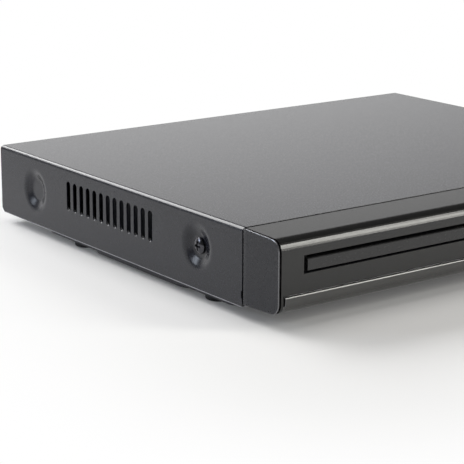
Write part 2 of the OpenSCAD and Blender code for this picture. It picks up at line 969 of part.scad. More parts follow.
module tact_switches() color("#1d1d20")
    for (x = concat(button_xs, [power_x]))
        translate([x, 0, button_z]) {
            block([-switch_w / 2, board_y - switch_h, -switch_w / 2], [switch_w / 2, board_y, switch_w / 2]);
            translate([0, switch_top, 0])
                rod_y(plunger_r, plunger_h + eps);
        }

module infrared_receiver() color("#1b1b1f")
    translate([display_x + display_w / 2 - 6, 0, display_z]) {
        block([-2.5, wall_back + 4, -3], [2.5, board_y, 3]);
        translate([0, wall_back + 4, 0])
            sphere(r = 2.2);
    }

module usb_socket() color("#b9bbbd")
    translate([usb_x, board_y - usb_len, usb_z]) {
        difference() {
            block([-usb_w / 2, 0, -usb_h / 2], [usb_w / 2, usb_len, usb_h / 2]);
            block([-usb_w / 2 + usb_wall, -1, -usb_h / 2 + usb_wall],
                  [usb_w / 2 - usb_wall, usb_len - 3, usb_h / 2 - usb_wall]);
        }
        block([-usb_w / 2 + 1.2, 1, 0.3], [usb_w / 2 - 1.2, usb_len - 2, 2]);
    }

module front_board_screws() color("#2c2c2e")
    for (b = board_bosses)
        translate([b[0], board_y + board_t, b[1]])
            rotate([-90, 0, 0])
                pan_screw(small_head_d, small_head_h, 6);

// ---- Circuit boards ----

module pcb(x0, w, l) {
    difference() {
        block([x0, pcb_rear - l, pcb_z], [x0 + w, pcb_rear, pcb_top]);
        at_pcb_holes()
            translate([0, 0, pcb_z - 1])
                cylinder(r = clear_hole_r, h = board_t + 2);
    }
}

module main_board() color("#2a6238") pcb(main_x0, main_w, main_l);

module power_board() color("#8a7040") pcb(power_x0, power_w, power_l);

module board_chips() color("#1a1a1c") {
    for (c = chips)
        translate([main_x0 + c[0], main_front + c[1], pcb_top])
            cube([c[2], c[3], c[4]]);
}

module chip_heat_sink() color("#a8abad")
    translate([main_x0 + chips[0][0] + 2, main_front + chips[0][1] + 2, pcb_top + chips[0][4]]) {
        cube([sink_w, sink_w, 2]);
        for (i = [0:5])
            translate([i * (sink_w - sink_fin) / 5, 0, 1.9])
                cube([sink_fin, sink_w, 7]);
    }

module flat_cable_sockets() color("#e6e2d4") {
    translate([main_x0 + flat_socket_x, main_front + 2, pcb_top])
        cube([flat_socket_l, flat_socket_w, flat_socket_h]);
    translate([main_x0 + 0.6, pickup_socket_y, pcb_top])
        cube([4.4, pickup_socket_l, flat_socket_h]);
    translate([main_x0 + flat_socket_x, board_y + board_t, board_low + 12])
        cube([flat_socket_l, flat_socket_h, flat_socket_w]);
    for (x = [main_x0 + main_w - supply_w - 3, power_x0 + supply_in])
        translate([x, supply_y, pcb_top])
            cube([supply_w, supply_l, supply_h]);
}

module rca_jacks() color("#1f1f22") {
    difference() {
        block([rca_xs[0] - rca_pitch / 2, rear_panel_y - rca_depth, pcb_top],
              [rca_xs[2] + rca_pitch / 2, rear_panel_y, rca_zs[1] + 5.5]);
        for (x = rca_xs, z = rca_zs)
            translate([x, rear_panel_y - rca_depth + 2, z])
                rod_y(rca_hole_r, rca_depth);
    }
    for (x = rca_xs, z = rca_zs)
        translate([x, rear_panel_y - eps, z])
            difference() {
                rod_y(rca_r, rear_y + jack_out - rear_panel_y);
                translate([0, -1, 0])
                    rod_y(rca_hole_r, rear_y + jack_out - rear_panel_y + 2);
            }
}

module hdmi_socket() color("#b9bbbd")
    translate([hdmi_x, 0, pcb_top]) {
        difference() {
            block([-hdmi_w / 2, rear_y - 12, 0], [hdmi_w / 2, rear_y + 0.4, hdmi_h]);
            block([-hdmi_w / 2 + usb_wall, rear_y - 9, usb_wall],
                  [hdmi_w / 2 - usb_wall, rear_y + 1, hdmi_h - usb_wall]);
        }
        block([-5.6, rear_y - 10, 2.1], [5.6, rear_y - 0.6, 3.3]);
    }

module transformer() color("#d8b24a")
    translate([power_x0 + power_w / 2, coil_y, pcb_top]) {
        block([1 - coil_x, -13, 0], [coil_x - 1, 13, 3]);
        block([5 - coil_x, -11, 3 - eps], [coil_x - 5, 11, coil_h - 3]);
        both_sides()
            block([coil_x - 4.8, -9, 3 - eps], [coil_x, 9, coil_h - 1]);
        block([-coil_x, -9, coil_h - 2.8], [coil_x, 9, coil_h]);
    }

module capacitors() color("#26304a") {
    for (c = caps)
        translate([power_x0 + c[0] * power_w, c[1], pcb_top])
            cylinder(r = c[2], h = c[3]);
}

module power_heat_sink() color("#a8abad")
    translate([power_x0 + power_w - 6, power_sink_y, pcb_top]) {
        cube([power_sink_t, power_sink_l, power_sink_h]);
        for (i = [0:4])
            translate([power_sink_t - eps, i * power_fin_pitch, 0])
                cube([power_fin_l, power_fin_t, power_sink_h]);
    }

module mains_inlet() color("#161618")
    translate([inlet_x, 0, pcb_top]) {
        difference() {
            block([-inlet_w / 2, rear_y - 20, 0], [inlet_w / 2, rear_y + 0.6, inlet_h]);
            translate([0, 0, inlet_h / 2])
                along_y(rear_y - 15, rear_y + 1)
                    oblong(inlet_w - 4.4, inlet_h - 4);
        }
        for (s = [-1, 1])
            translate([s * 4.3, rear_y - 15 - eps, inlet_h / 2])
                rod_y(1.2, 13);
    }

module board_screws() color("#2c2c2e") at_pcb_holes()
    translate([0, 0, pcb_top])
        pan_screw(small_head_d, small_head_h, 5);

// ---- Cables inside the case ----

module front_flat_cable() color("#d9d6cc") {
    x0 = main_x0 + 11;
    x1 = main_x0 + 29;
    y0 = board_y + board_t + 4;
    y1 = main_front + 4;
    z_run = hook_top + 1;
    z_front = board_low + 16;
    block([x0, y0, z_run], [x1, y0 + cable_t, z_front]);
    block([x0, y0, z_run], [x1, y1 - 6, z_run + cable_t]);
    block([x0, y1 - 6 - cable_t, z_run], [x1, y1 - 6, pcb_top + 6]);
    block([x0, y1 - 6 - cable_t, pcb_top + 6 - eps], [x1, y1, pcb_top + 6 + cable_t]);
    block([x0, y1 - cable_t, pcb_top + 4], [x1, y1, pcb_top + 6 + eps]);
}

module pickup_flat_cable() color("#d9d6cc") {
    y0 = main_front + 32;
    y1 = main_front + 56;
    x_in = disc_x + 24;
    x_up = main_x0 - 1.4;
    block([x_in, y0, floor_top], [x_up, y1, floor_top + cable_t]);
    block([x_up - cable_t, y0, floor_top], [x_up, y1, pcb_top + 6]);
    block([x_up - cable_t, y0, pcb_top + 6 - eps], [main_x0 + 3, y1, pcb_top + 6 + cable_t]);
    block([main_x0 + 3 - cable_t, y0, pcb_top + 4], [main_x0 + 3, y1, pcb_top + 6 + eps]);
}

module supply_leads() color("#b03028") {
    x0 = main_x0 + main_w - 6;
    x1 = power_x0 + 5;
    for (i = [0:supply_n - 1])
        translate([0, supply_y + 2 + i * supply_step, 0]) {
            for (x = [x0, x1])
                translate([x, 0, pcb_top + 7])
                    cylinder(r = lead_r, h = 5.3);
            translate([x0 - lead_r, 0, pcb_top + 12])
                rod_x_dir(lead_r, x1 - x0 + 2 * lead_r);
        }
}

// ---- Loader ----

module loader_frame() color("#2b2c30") in_loader() {
    difference() {
        union() {
            both_sides() {
                block([rail_x, low_front, 0], [rail_out, loader_rear, loader_top]);
                block([rail_x, loader_front, platform_z], [rail_out, low_front + eps, loader_top]);
                block([ledge_in, loader_front, tray_z - 2], [rail_x + eps, loader_rear, tray_z - 0.2]);
                block([54, platform_back, 0], [rail_x + eps, loader_rear, loader_floor]);
                for (y = [-60, -10, 40, 90])
                    block([ledge_in, y - 4, tray_z + tray_h + tray_gap], [rail_x + eps, y + 4, loader_top]);
                for (y = lug_ys)
                    block([rail_out - eps, y - lug_r, 0], [rail_out + lug_out, y + lug_r, loader_floor]);
                translate([bridge_screw_x, 0, 0])
                    cylinder(r = boss_r, h = loader_top);
                block([pivot_x, hinge_y - 4, 0], [pivot_x + pivot_ear, hinge_y + 4, hinge_z]);
                translate([pivot_x, hinge_y, hinge_z])
                    rod_x_dir(4, pivot_ear);
            }
            block([-rail_x - eps, loader_front + 1, platform_z], [rail_x + eps, platform_back, platform_top]);
            block([-rail_x - eps, platform_back - loader_floor, 0],
                  [rail_x + eps, platform_back, platform_z + eps]);
            block([-rail_x - eps, platform_back - eps, 0], [rail_x + eps, track_back, loader_floor]);
            block([-rail_x - eps, hinge_y - 5, 0], [rail_x + eps, loader_rear, loader_floor]);
            translate([drive_x, drive_y, platform_top - eps])
                cylinder(r = post_r, h = drive_pinion_z + drive_pinion_h - platform_top - 0.2);
        }
        both_sides() {
            translate([pivot_x - 1, hinge_y, hinge_z])
                rod_x_dir(pivot_r, pivot_ear + 2);
            translate([bridge_screw_x, 0, loader_top - 8])
                cylinder(r = thread_hole_r, h = 9);
            for (y = lug_ys)
                translate([rail_out + lug_out / 2 + 0.3, y, -1])
                    cylinder(r = clear_hole_r, h = loader_floor + 2);
        }
        translate([pulley_x, pulley_y, platform_z - 1])
            cylinder(r = post_r + running, h = platform_t + 2);
        translate([motor_x, motor_y, platform_z - 1])
            cylinder(r = 2.4, h = platform_t + 2);
    }
}

module loader_screws() color("#2c2c2e") at_loader_lugs()
    translate([0, 0, loader_z + loader_floor])
        pan_screw(small_head_d, small_head_h, loader_floor + standoff_h + sheet_t);

module loading_motor() color("#b4b6b8") in_loader()
    translate([motor_x, motor_y, 0]) {
        translate([0, 0, platform_top])
            cylinder(r = 10, h = tray_z - 0.6 - platform_top);
        translate([0, 0, platform_z - 0.2])
            cylinder(r = 2.2, h = platform_t + 0.2 + eps);
        translate([0, 0, pulley_low])
            cylinder(r = spindle_r, h = platform_z - pulley_low);
    }

// A grooved belt pulley: r is its groove's radius
module pulley(r) {
    cylinder(r = r + belt_t + 0.2, h = pulley_lip - 0.2);
    cylinder(r = r, h = pulley_h);
    translate([0, 0, pulley_h - pulley_lip + 0.2])
        cylinder(r = r + belt_t + 0.2, h = pulley_lip - 0.2);
}

module motor_pulley() color("#d9d4c4") in_loader()
    translate([motor_x, motor_y, pulley_low])
        difference() {
            pulley(motor_pulley_r);
            translate([0, 0, -1])
                cylinder(r = spindle_r + running, h = pulley_h + 2);
        }

// Outline of the belt at a distance r outside both grooves
function belt_outline(r) =
    let (a = motor_pulley_r + r, b = pulley_r + r, t = acos((b - a) / (pulley_x - motor_x)))
    concat(
        arc([pulley_x, pulley_y], b, t - 180, 180 - t, 40),
        arc([motor_x, motor_y], a, 180 - t, 180 + t, 16)
    );

module drive_belt() color("#202024") in_loader()
    translate([0, 0, belt_z])
        linear_extrude(belt_h)
            difference() {
                polygon(belt_outline(running + belt_t));
                polygon(belt_outline(running));
            }

module gear(m, n, h) {
    linear_extrude(h)
        polygon(gear_outline(m, n));
}

module pulley_gear() color("#e4e0d2") in_loader()
    translate([pulley_x, pulley_y, 0]) {
        translate([0, 0, pulley_low])
            pulley(pulley_r);
        translate([0, 0, pulley_low])
            cylinder(r = post_r, h = big_gear_z - pulley_low + eps);
        translate([0, 0, platform_top + 0.2])
            cylinder(r = 3, h = big_gear_z - platform_top - 0.2);
        translate([0, 0, big_gear_z])
            rotate([0, 0, mesh_angle - 180 + 180 / pulley_pinion_n])
                gear(gear_module, pulley_pinion_n, big_gear_h - 0.2);
    }

module tray_drive_gear() color("#e4e0d2") in_loader()
    translate([drive_x, drive_y, 0])
        difference() {
            union() {
                translate([0, 0, platform_top + 0.1])
                    cylinder(r = 4, h = big_gear_z - platform_top);
                translate([0, 0, big_gear_z])
                    rotate([0, 0, mesh_angle])
                        gear(gear_module, big_gear_n, big_gear_h - 0.2);
                translate([0, 0, big_gear_z + big_gear_h - 0.2 - eps])
                    cylinder(r = drive_r - 1.25 * rack_module, h = 0.5);
                translate([0, 0, drive_pinion_z])
                    gear(rack_module, tray_pinion_n, drive_pinion_h);
            }
            cylinder(r = post_r + running, h = tray_z);
        }

module disc_tray() color("#232427") in_loader() difference() {
    union() {
        block([-tray_w / 2, tray_front, tray_z], [tray_w / 2, tray_front + tray_l, tray_z + tray_h]);
        translate([rack_pitch_x, drive_y - PI * rack_module * 2, tray_z - rack_h])
            linear_extrude(rack_h + eps)
                polygon(rack_outline(rack_module, rack_teeth));
        block([-rack_back_x, rack_front, tray_z - rack_h], [1.6 - rack_back_x, 92, tray_z + eps]);
    }
    translate([0, 0, well_z])
        cylinder(r = well_d / 2, h = tray_h, $fn = fine);
    translate([0, 0, small_well_z])
        cylinder(r = small_well_d / 2, h = tray_h, $fn = fine);
    translate([0, 0, tray_z - 1])
        cylinder(r = window_r, h = tray_h + 2);
    translate([0, 0, tray_z - 1])
        linear_extrude(tray_h + 2) {
            translate([-window_x, 0])
                square([2 * window_x, window_rear - window_x]);
            translate([0, window_rear - window_x])
                circle(window_x);
        }
    block([-tray_pocket_x, tray_pocket_y, well_z],
          [tray_pocket_x, tray_front + tray_l - 3, tray_z + tray_h + 1]);
}

module tray_door() color("#45474b")
    translate([0, front_y, door_z])
        along_x(disc_x - door_w / 2, disc_x + door_w / 2)
            polygon([[0, 0], [0, door_h - door_bevel], [door_bevel, door_h], [door_t, door_h], [door_t, 0]]);

module cam_slider() color("#d9d4c4") in_loader() difference() {
    union() {
        block([cam_left, cam_y, loader_floor + 0.3], [cam_right, cam_y + cam_t, cam_top]);
        block([cam_left, cam_y - 4.4, loader_floor + 0.1], [cam_right, cam_y + cam_t, loader_floor + 1.5]);
    }
    for (x = [-cam_pin_x, cam_pin_x])
        translate([x, 0, cam_low])
            along_y(cam_y - eps, cam_y + cam_t + 1)
                cam_slot();
}

// The slanted slot, from the pin's resting place at the origin
module cam_slot() {
    r = cam_pin_r + cam_clear;
    n = [cam_rise, slider_travel] * r / sqrt(cam_rise * cam_rise + slider_travel * slider_travel);
    far = [-slider_travel, cam_rise];
    circle(r);
    translate(far)
        circle(r);
    polygon([n, far + n, far - n, -n]);
}

module traverse_deck() color("#8f9294") on_deck() {
    difference() {
        union() {
            block([-deck_x, deck_front, deck_z], [deck_x, deck_rear, deck_top]);
            block([-deck_x, deck_front, deck_z - 0.8], [deck_x, deck_front + 1.6, deck_top]);
            both_sides() {
                block([pivot_x - 4.2, hinge_y - 10, hinge_z - 2.4],
                      [pivot_x - 0.6, hinge_y + 3.4, deck_z + eps]);
                translate([pivot_x - 0.6 - eps, hinge_y, hinge_z])
                    rod_x_dir(pivot_r - running, pivot_ear + 1);
                for (y = [rod_front, rod_rear])
                    block([rod_x - rod_post, y, deck_top - eps],
                          [rod_x + rod_post, y + rod_post, rod_z + 2.2]);
                translate([cam_pin_x, cam_y + 0.2, cam_pin_z])
                    rod_y(cam_pin_r, deck_front - cam_y);
            }
            block([screw_x - 3, rod_front, deck_z], [screw_x + 3, rod_front + rod_post, screw_z + 3]);
        }
        block([deck_window[0], deck_window[2], deck_z - 1], [deck_window[1], deck_window[3], deck_top + 1]);
        block([screw_x - sled_motor_r - 0.4, deck_window[3] - 1, deck_z - 1],
              [screw_x + sled_motor_r + 0.4, deck_window[3] + sled_motor_l + 1, deck_top + 5]);
        both_sides()
            translate([rod_x, rod_front - 1, rod_z])
                rod_y(rod_r + running, rod_rear + rod_post + 2 - rod_front);
        translate([screw_x, rod_front - 1, screw_z])
            rod_y(rod_r + running, rod_post + 2);
        translate([0, 0, deck_z - 1])
            cylinder(r = 4, h = deck_t + 2);
    }
}

module spindle_motor() color("#c2c4c6") on_deck() {
    translate([0, 0, deck_top])
        cylinder(r = motor_r, h = play_z - flange_t - 0.6 - deck_top);
    translate([0, 0, deck_top + 1])
        cylinder(r = spindle_r, h = play_z + hub_h - 1.2 - deck_top);
    translate([0, 0, deck_z - 0.8])
        cylinder(r = 3.8, h = deck_t + 0.8 + eps);
}

module turntable() color("#1c1c1e") on_deck() difference() {
    union() {
        translate([0, 0, play_z - flange_t])
            cylinder(r = turntable_d / 2, h = flange_t);
        translate([0, 0, play_z - eps])
            cylinder(r = hub_r, h = hub_h - 1);
        translate([0, 0, play_z + hub_h - 1 - 2 * eps])
            cylinder(r1 = hub_r, r2 = hub_r - 1.4, h = 1);
    }
    translate([0, 0, play_z - flange_t - 1])
        cylinder(r = spindle_r + running, h = flange_t + hub_h + 2);
}

module guide_rods() color("#cfd1d3") on_deck() both_sides()
    translate([rod_x, rod_front + 0.2, rod_z])
        rod_y(rod_r, rod_rear + rod_post - rod_front - 0.4);

module pickup_sled() color("#7d8083") on_deck() {
    difference() {
        union() {
            block([-sled_x, sled_y, sled_low], [sled_x, sled_y + sled_l, sled_top]);
            block([sled_x - eps, sled_y + 6, deck_top + 0.5], [rod_x + 3, sled_y + 16, rod_z + 2.2]);
            block([-rod_x - 3, sled_y + 4, deck_top + 0.5], [eps - sled_x, sled_y + 19, rod_z + 2.2]);
            block([screw_x - 3, sled_y + 8, screw_z - 2.2], [-sled_x, sled_y + 14, deck_top + 1.5]);
        }
        both_sides()
            translate([rod_x, sled_y, rod_z])
                rod_y(rod_r + running, sled_l);
        translate([screw_x, sled_y, screw_z])
            rod_y(rod_r + running, sled_l);
        translate([0, lens_y, sled_top - 3])
            cylinder(r = lens_r + 0.4, h = 4);
    }
}

module objective_lens() color("#5b7fa0") on_deck()
    translate([0, lens_y, sled_top - 2.5]) {
        cylinder(r = lens_r, h = lens_top - sled_top + 1.9);
        cylinder(r = 2.2, h = lens_top - sled_top + 2.5);
    }

module sled_motor() color("#b4b6b8") on_deck() {
    translate([screw_x, deck_window[3], screw_z])
        rod_y(sled_motor_r, sled_motor_l);
    block([screw_x - sled_motor_r - 3, deck_window[3] + 4, deck_top],
          [screw_x + sled_motor_r + 3, deck_window[3] + 9, deck_top + 0.8]);
}

module lead_screw() color("#d4d6d8") on_deck()
    translate([screw_x, rod_front + 0.2, screw_z])
        difference() {
            rod_y(rod_r, deck_window[3] - rod_front - 0.5);
            for (y = [6:screw_pitch:72])
                translate([0, y, 0])
                    rotate([-90, 0, 0])
                        rotate_extrude()
                            translate([rod_r - 0.3, 0])
                                square([1, 1.2]);
        }

module clamp_bridge() color("#9ea1a3") in_loader() difference() {
    union() {
        block([-bridge_screw_x - 3, -bridge_half, bridge_z],
              [bridge_screw_x + 3, bridge_half, bridge_z + bridge_t]);
        cylinder(r = clamper_hole_r + 2, h = bridge_z + bridge_t, $fn = fine);
        both_sides()
            block([rail_x, -bridge_half, loader_top], [bridge_screw_x + 3, bridge_half, bridge_z + eps]);
    }
    translate([0, 0, -1])
        cylinder(r = clamper_hole_r + 4, h = bridge_z + 1, $fn = fine);
    cylinder(r = clamper_hole_r, h = bridge_z + bridge_t + 1, $fn = fine);
    both_sides()
        translate([bridge_screw_x, 0, loader_top - 1])
            cylinder(r = clear_hole_r, h = bridge_z + bridge_t - loader_top + 2);
}

module bridge_screws() color("#2c2c2e") in_loader() both_sides()
    translate([bridge_screw_x, 0, bridge_z + bridge_t])
        pan_screw(small_head_d, small_head_h, 9);

module clamper() color("#26272a") in_loader() difference() {
    union() {
        translate([0, 0, clamper_low])
            cylinder(r = clamper_pad_r, h = bridge_z + bridge_t + 0.1 + eps - clamper_low, $fn = fine);
        translate([0, 0, bridge_z + bridge_t + 0.1])
            cylinder(r = clamper_d / 2, h = clamper_flange_t, $fn = fine);
    }
    translate([0, 0, clamper_low - 1])
        cylinder(r = hub_r + 0.6, h = hub_h + 1.6);
    translate([0, 0, bridge_z + bridge_t - 0.5])
        cylinder(r = magnet_r + running, h = 4);
}

module clamper_magnet() color("#77797c") in_loader()
    translate([0, 0, bridge_z + bridge_t - 0.5])
        cylinder(r = magnet_r, h = clamper_flange_t + 0.5);

bottom_chassis();
rear_panel();
top_cover();
cover_screws();
rear_screws();
rubber_feet();
front_panel();
front_skin();
lower_trim();
display_window();
power_button();
open_button();
play_button();
stop_button();
front_board();
display_module();
tact_switches();
infrared_receiver();
usb_socket();
front_board_screws();
main_board();
board_chips();
chip_heat_sink();
flat_cable_sockets();
rca_jacks();
hdmi_socket();
power_board();
transformer();
capacitors();
power_heat_sink();
mains_inlet();
board_screws();
front_flat_cable();
pickup_flat_cable();
supply_leads();
loader_frame();
loader_screws();
loading_motor();
motor_pulley();
drive_belt();
pulley_gear();
tray_drive_gear();
disc_tray();
tray_door();
cam_slider();
traverse_deck();
spindle_motor();
turntable();
guide_rods();
pickup_sled();
objective_lens();
sled_motor();
lead_screw();
clamp_bridge();
bridge_screws();
clamper();
clamper_magnet();
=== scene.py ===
import json
import math

import bmesh
import bpy
from mathutils import Matrix, Vector

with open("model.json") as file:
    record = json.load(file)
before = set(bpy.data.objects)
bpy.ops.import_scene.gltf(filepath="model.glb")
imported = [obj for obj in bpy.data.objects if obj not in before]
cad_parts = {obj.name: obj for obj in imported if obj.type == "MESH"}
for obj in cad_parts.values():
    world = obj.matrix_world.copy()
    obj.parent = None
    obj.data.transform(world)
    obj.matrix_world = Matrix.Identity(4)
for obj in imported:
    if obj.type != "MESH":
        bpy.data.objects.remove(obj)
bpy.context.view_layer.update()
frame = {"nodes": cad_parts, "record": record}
NODES = frame["nodes"]
MM = 0.001
WHITE = (1, 1, 1, 1)
# Sockets of a Mix node for colours, which share their names with those for numbers.
MIX_FACTOR, MIX_A, MIX_B, MIX_RESULT = 0, 6, 7, 2


# ---- Materials ----

PATCHES_PER_M = 40
COAT_ROUGH = 0.12
LEAST_ROUGH = 0.02
NOISE_RANGE = (0.3, 0.7)  # the noise values that reach a finish's two ends
FLECK_RANGE = (0.35, 0.65)
# A light grey band along the cover's bottom edge, a painted highlight line.
EDGE_HIGHLIGHT_HEIGHT = 0.4 * MM
EDGE_HIGHLIGHT_COLOUR = "#a0a0a4"


def rgb(code):
    """A colour written as hex, in linear light."""
    parts = [int(code[i:i + 2], 16) / 255 for i in (1, 3, 5)]
    return [p / 12.92 if p <= 0.04045 else ((p + 0.055) / 1.055) ** 2.4 for p in parts] + [1.0]


def scaled(colour, factor):
    return [min(1.0, c * factor) for c in colour[:3]] + [1.0]


def set_ramp(ramp, positions, colours):
    """Places the two stops of a colour ramp."""
    for stop, position, colour in zip(ramp.color_ramp.elements, positions, colours):
        stop.position = position
        stop.color = colour


def material(name, colour, rough, metallic=0.0, coat=0.0, specular=0.5, vary=0.12,
             grain=900, grain_mm=0.01, spread=0.06, stretch=(1, 1, 1), fleck=0.0):
    """A surface whose colour drifts over patches and whose fine grain sets its roughness and bump.

    vary and spread are how far colour and roughness drift. grain is in cells per metre, stretch
    scales it per axis, and grain_mm is its height. fleck darkens the colour in the grain."""
    mat = bpy.data.materials.new(name)
    mat.use_nodes = True
    nodes, links = mat.node_tree.nodes, mat.node_tree.links
    shader = nodes["Principled BSDF"]
    shader.inputs["Metallic"].default_value = metallic
    shader.inputs["Coat Weight"].default_value = coat
    shader.inputs["Coat Roughness"].default_value = COAT_ROUGH
    shader.inputs["Specular IOR Level"].default_value = specular
    place = nodes.new("ShaderNodeTexCoord")
    mapping = nodes.new("ShaderNodeMapping")
    mapping.inputs["Scale"].default_value = stretch
    links.new(place.outputs["Object"], mapping.inputs["Vector"])

    drift = nodes.new("ShaderNodeTexNoise")
    drift.inputs["Scale"].default_value = PATCHES_PER_M
    drift.inputs["Detail"].default_value = 3
    links.new(place.outputs["Object"], drift.inputs["Vector"])
    fine = nodes.new("ShaderNodeTexNoise")
    fine.inputs["Scale"].default_value = grain
    fine.inputs["Detail"].default_value = 2
    links.new(mapping.outputs["Vector"], fine.inputs["Vector"])

    tone = nodes.new("ShaderNodeValToRGB")
    set_ramp(tone, NOISE_RANGE, (scaled(colour, 1 - vary), scaled(colour, 1 + vary)))
    links.new(drift.outputs["Fac"], tone.inputs["Fac"])
    last = tone.outputs["Color"]
    if fleck:
        dots = nodes.new("ShaderNodeValToRGB")
        set_ramp(dots, FLECK_RANGE, ([1 - fleck] * 3 + [1], WHITE))
        links.new(fine.outputs["Fac"], dots.inputs["Fac"])
        mix = nodes.new("ShaderNodeMix")
        mix.data_type = "RGBA"
        mix.blend_type = "MULTIPLY"
        mix.inputs[MIX_FACTOR].default_value = 1.0
        links.new(last, mix.inputs[MIX_A])
        links.new(dots.outputs["Color"], mix.inputs[MIX_B])
        last = mix.outputs[MIX_RESULT]
    links.new(last, shader.inputs["Base Color"])

    gloss = nodes.new("ShaderNodeMapRange")
    gloss.inputs["From Min"].default_value = NOISE_RANGE[0]
    gloss.inputs["From Max"].default_value = NOISE_RANGE[1]
    gloss.inputs["To Min"].default_value = max(LEAST_ROUGH, rough - spread)
    gloss.inputs["To Max"].default_value = min(1.0, rough + spread)
    links.new(fine.outputs["Fac"], gloss.inputs["Value"])
    links.new(gloss.outputs["Result"], shader.inputs["Roughness"])

    bump = nodes.new("ShaderNodeBump")
    bump.inputs["Strength"].default_value = 1.0
    bump.inputs["Distance"].default_value = grain_mm * MM
    links.new(fine.outputs["Fac"], bump.inputs["Height"])
    links.new(bump.outputs["Normal"], shader.inputs["Normal"])
    return mat


FINISH = {
    "cover_paint": dict(colour=rgb("#1c1d25"), specular=0.42, rough=0.23, grain=1700,
                        grain_mm=0.014, vary=0.06, fleck=0.12),
    "pan_steel": dict(colour=rgb("#2b2b30"), rough=0.4, metallic=0.6, grain=500, grain_mm=0.004),
    "steel_sheet": dict(colour=rgb("#8f9193"), rough=0.36, metallic=0.9, grain=500,
                        grain_mm=0.004),
    "dark_screw": dict(colour=rgb("#4c4c50"), rough=0.18, metallic=1.0, grain=1500,
                       grain_mm=0.002),
    "rubber": dict(colour=rgb("#151517"), rough=0.75, grain=1800, grain_mm=0.02),
    "front_plastic": dict(colour=rgb("#15161e"), specular=0.36, rough=0.3, grain=1200,
                          grain_mm=0.004),
    "front_metal": dict(colour=rgb("#0e0e0d"), specular=0.6, rough=0.22, grain=1500,
                        grain_mm=0.0008, vary=0.04, spread=0.02, stretch=(0.3, 1, 1)),
    "lip_plastic": dict(colour=rgb("#3a3a39"), specular=0.75, rough=0.14, grain=1200,
                        grain_mm=0.0008, spread=0.03),
    # A lighter metal for rounded edges, which paints a highlight line along them.
    "painted_highlight_edge": dict(colour=rgb("#77777a"), rough=0.16, metallic=0.8, grain=1200,
                      grain_mm=0.001, vary=0.04, spread=0.03),
    "door_plastic": dict(colour=rgb("#252526"), rough=0.26, grain=1500, grain_mm=0.0008,
                         vary=0.04, spread=0.02, stretch=(0.3, 1, 1)),
    "window_plastic": dict(colour=rgb("#0b0b0d"), rough=0.08, coat=0.5, grain=200,
                           grain_mm=0.001, spread=0.02),
    "button_plastic": dict(colour=rgb("#4a4b4f"), rough=0.25, grain=900, grain_mm=0.004),
    "power_plastic": dict(colour=rgb("#5a5b60"), rough=0.22, grain=900, grain_mm=0.004),
    "green_board": dict(colour=rgb("#1f5a34"), rough=0.32, grain=260, grain_mm=0.02, vary=0.25,
                        fleck=0.3),
    "brown_board": dict(colour=rgb("#8a6a3c"), rough=0.6, grain=400, grain_mm=0.02, vary=0.15,
                        fleck=0.2),
    "black_part": dict(colour=rgb("#1b1b1e"), rough=0.45, grain=1500, grain_mm=0.01),
    "socket_steel": dict(colour=rgb("#b4b6b8"), rough=0.25, metallic=1.0, grain=700,
                         grain_mm=0.003),
    "ivory_plastic": dict(colour=rgb("#ded8c6"), rough=0.42, grain=900, grain_mm=0.006),
    "heat_sink_metal": dict(colour=rgb("#a9acae"), rough=0.36, metallic=1.0, grain=900,
                            grain_mm=0.01, stretch=(1, 1, 0.1)),
    "winding_tape": dict(colour=rgb("#d3a63a"), rough=0.38, grain=300, grain_mm=0.01),
    "capacitor_sleeve": dict(colour=rgb("#1e2c4c"), rough=0.26, grain=500, grain_mm=0.004),
    "flat_cable": dict(colour=rgb("#d8d5cb"), rough=0.4, grain=900, grain_mm=0.02,
                       stretch=(1, 0.05, 1), fleck=0.2),
    "lead_red": dict(colour=rgb("#a92a20"), rough=0.4, grain=700, grain_mm=0.006),
    "loader_plastic": dict(colour=rgb("#2a2b2f"), rough=0.5, grain=1500, grain_mm=0.014),
    "motor_steel": dict(colour=rgb("#b2b4b6"), rough=0.28, metallic=1.0, grain=900,
                        grain_mm=0.003),
    "belt_rubber": dict(colour=rgb("#17171a"), rough=0.7, grain=2000, grain_mm=0.01),
    "tray_plastic": dict(colour=rgb("#1f2023"), rough=0.46, grain=1700, grain_mm=0.014),
    "deck_metal": dict(colour=rgb("#8e9193"), rough=0.34, metallic=0.95, grain=800,
                       grain_mm=0.004),
    "rod_steel": dict(colour=rgb("#cfd1d3"), rough=0.12, metallic=1.0, grain=1500,
                      grain_mm=0.001, spread=0.03),
    "sled_metal": dict(colour=rgb("#7c8083"), rough=0.42, metallic=0.9, grain=1100,
                       grain_mm=0.01),
    "lens_glass": dict(colour=rgb("#5b7fa0"), rough=0.06, coat=1.0, grain=500, grain_mm=0.001,
                       spread=0.02),
    "magnet": dict(colour=rgb("#77797c"), rough=0.4, metallic=0.8, grain=900, grain_mm=0.006),
}
MATERIALS = {name: material(name, **values) for name, values in FINISH.items()}


def paint_highlight_below(mat, height, colour):
    """Paints a sheet's colour lighter below a height in metres: a painted highlight line along its
    bottom edge.
    """
    nodes, links = mat.node_tree.nodes, mat.node_tree.links
    place = nodes.new("ShaderNodeTexCoord")
    split = nodes.new("ShaderNodeSeparateXYZ")
    links.new(place.outputs["Object"], split.inputs["Vector"])
    under = nodes.new("ShaderNodeMath")
    under.operation = "LESS_THAN"
    under.inputs[1].default_value = height
    links.new(split.outputs["Z"], under.inputs[0])
    base = nodes["Principled BSDF"].inputs["Base Color"]
    mix = nodes.new("ShaderNodeMix")
    mix.data_type = "RGBA"
    links.new(under.outputs["Value"], mix.inputs[MIX_FACTOR])
    links.new(base.links[0].from_socket, mix.inputs[MIX_A])
    mix.inputs[MIX_B].default_value = colour
    links.new(mix.outputs[MIX_RESULT], base)


